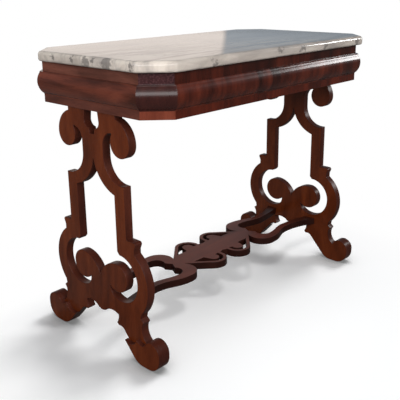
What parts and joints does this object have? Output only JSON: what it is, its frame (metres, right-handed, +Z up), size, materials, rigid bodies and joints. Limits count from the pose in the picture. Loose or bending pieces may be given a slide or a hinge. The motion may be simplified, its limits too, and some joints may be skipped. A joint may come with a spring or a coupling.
{
  "type": "pier table",
  "caption": "Free-standing pier table: loose marble slab with clipped corners on a moulded apron, scroll-sawn lyre supports and a pierced flat stretcher.",
  "frame": {"origin": "on the floor, under the middle of the whole outline", "axes": "+X along the length, -Y towards the front, +Z up"},
  "size_m": [1.022, 0.5724, 0.85],
  "materials": {
    "marble": "polished, grey veins",
    "mahogany": "french polish on figured veneer and solid wood",
    "pine": "unfinished secondary wood"
  },
  "bodies": {
    "table": {"centre_brace": "pine", "front_left_corner_block": "pine", "front_left_corner_moulding": "mahogany", "front_left_corner_rail": "mahogany", "front_moulding": "mahogany", "front_rail": "mahogany", "front_right_corner_block": "pine", "front_right_corner_moulding": "mahogany", "front_right_corner_rail": "mahogany", "left_brace": "pine", "left_end_moulding": "mahogany", "left_end_rail": "mahogany", "left_front_foot_facing": "mahogany", "left_rear_foot_facing": "mahogany", "left_stretcher_dowels": "pine", "left_support": "mahogany", "left_support_dowels": "pine", "rear_left_corner_block": "pine", "rear_left_corner_moulding": "mahogany", "rear_left_corner_rail": "mahogany", "rear_moulding": "mahogany", "rear_rail": "mahogany", "rear_right_corner_block": "pine", "rear_right_corner_moulding": "mahogany", "rear_right_corner_rail": "mahogany", "right_brace": "pine", "right_end_moulding": "mahogany", "right_end_rail": "mahogany", "right_front_foot_facing": "mahogany", "right_rear_foot_facing": "mahogany", "right_stretcher_dowels": "pine", "right_support": "mahogany", "right_support_dowels": "pine", "stretcher": "mahogany"},
    "slab": {"marble_top": "marble"}
  },
  "joints": [
    {"name": "slab_lift", "type": "slide", "parent": "table", "child": "slab", "axis": [0, 0, 1], "range_m": [0, 0.1]}
  ]
}
